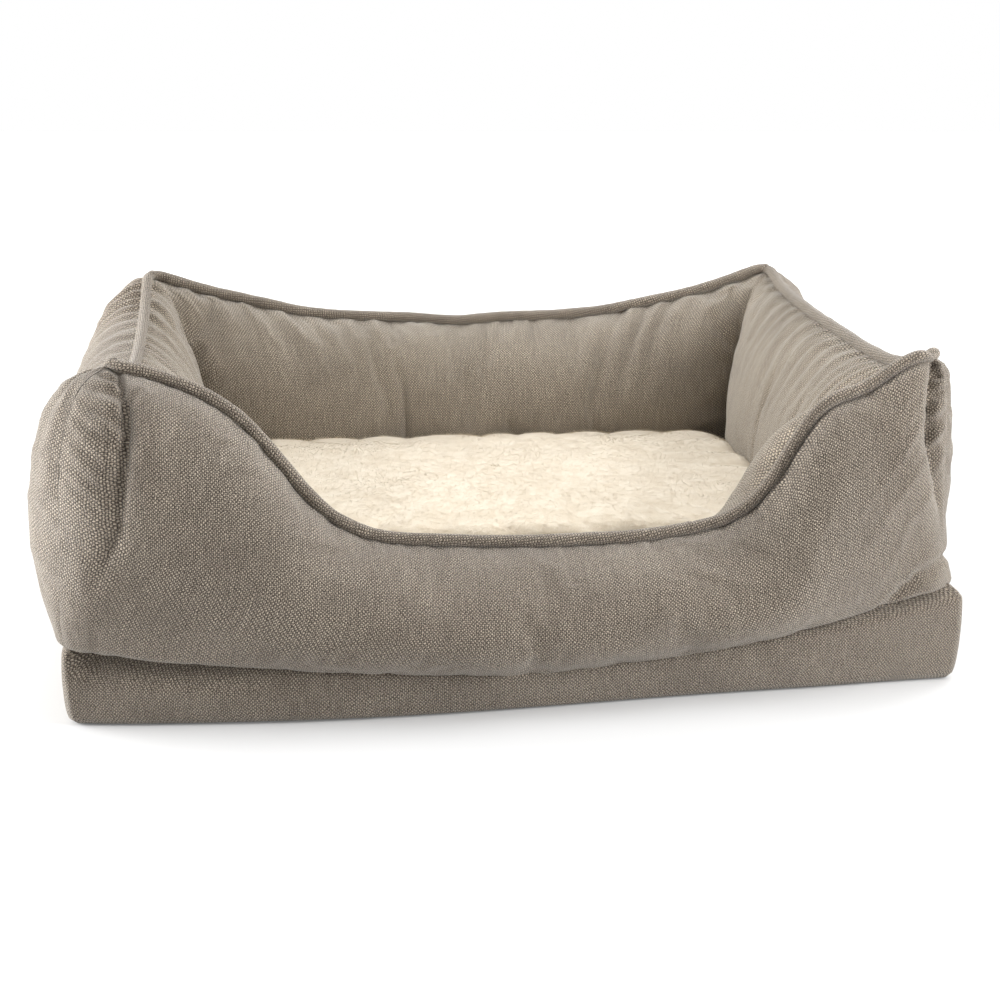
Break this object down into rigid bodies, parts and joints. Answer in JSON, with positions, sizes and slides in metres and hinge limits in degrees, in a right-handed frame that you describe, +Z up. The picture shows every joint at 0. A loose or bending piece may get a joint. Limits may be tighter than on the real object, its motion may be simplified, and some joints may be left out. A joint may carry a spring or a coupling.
{
  "type": "pet cushion bed",
  "caption": "Rectangular pet bed with stuffed, corded bolster walls, a low front entry and a loose fleece-topped cushion.",
  "frame": {"origin": "centre of the footprint on the floor", "axes": "+X to the right as seen from the front entry, +Y towards the back wall, +Z up"},
  "size_m": [0.7132, 0.5462, 0.267],
  "materials": {
    "taupe_weave": "hopsack upholstery weave",
    "taupe_piping": "bias-cut weave over a cord",
    "cream_fleece": "short plush fleece",
    "cream_cotton": "plain cotton",
    "underside_cloth": "dark anti-slip cloth with rubber dots",
    "fibre_fill": "polyester fibre",
    "foam": "upholstery foam",
    "cotton_cord": "twisted cotton",
    "zip_tape": "woven tape",
    "zip_nylon": "nylon coil",
    "zip_metal": "satin nickel",
    "label_satin": "blank satin tab"
  },
  "bodies": {
    "bed": {"base_foam": "foam", "base_bottom_panel": "underside_cloth", "base_deck_panel": "taupe_weave", "base_band_front": "taupe_weave", "base_band_right": "taupe_weave", "base_band_back": "taupe_weave", "base_band_left": "taupe_weave", "base_zip_tapes": "zip_tape", "base_zip_coils": "zip_nylon", "base_zip_stops": "zip_metal", "care_label": "label_satin", "front_outer_panel": "taupe_weave", "front_inner_panel": "taupe_weave", "front_fill": "fibre_fill", "front_piping_cover": "taupe_piping", "front_piping_cord": "cotton_cord", "right_outer_panel": "taupe_weave", "right_inner_panel": "taupe_weave", "right_fill": "fibre_fill", "right_piping_cover": "taupe_piping", "right_piping_cord": "cotton_cord", "back_outer_panel": "taupe_weave", "back_inner_panel": "taupe_weave", "back_fill": "fibre_fill", "back_piping_cover": "taupe_piping", "back_piping_cord": "cotton_cord", "left_outer_panel": "taupe_weave", "left_inner_panel": "taupe_weave", "left_fill": "fibre_fill", "left_piping_cover": "taupe_piping", "left_piping_cord": "cotton_cord"},
    "cushion": {"cushion_fleece_top": "cream_fleece", "cushion_side_band": "cream_cotton", "cushion_underside": "cream_cotton", "cushion_fill": "fibre_fill"},
    "zip_slider": {"base_zip_slider": "zip_metal"},
    "zip_pull": {"base_zip_pull": "zip_metal"}
  },
  "joints": [
    {"name": "cushion_lift", "type": "slide", "parent": "bed", "child": "cushion", "axis": [0, 0, 1], "range_m": [0, 0.24]},
    {"name": "zip_slide", "type": "slide", "parent": "bed", "child": "zip_slider", "axis": [1, 0, 0], "range_m": [0, 0.28]},
    {"name": "zip_pull_turn", "type": "hinge", "parent": "zip_slider", "child": "zip_pull", "pos_m": [-0.14, 0.26472, 0.034], "axis": [0, 0, 1], "range_deg": [0, 170]}
  ]
}
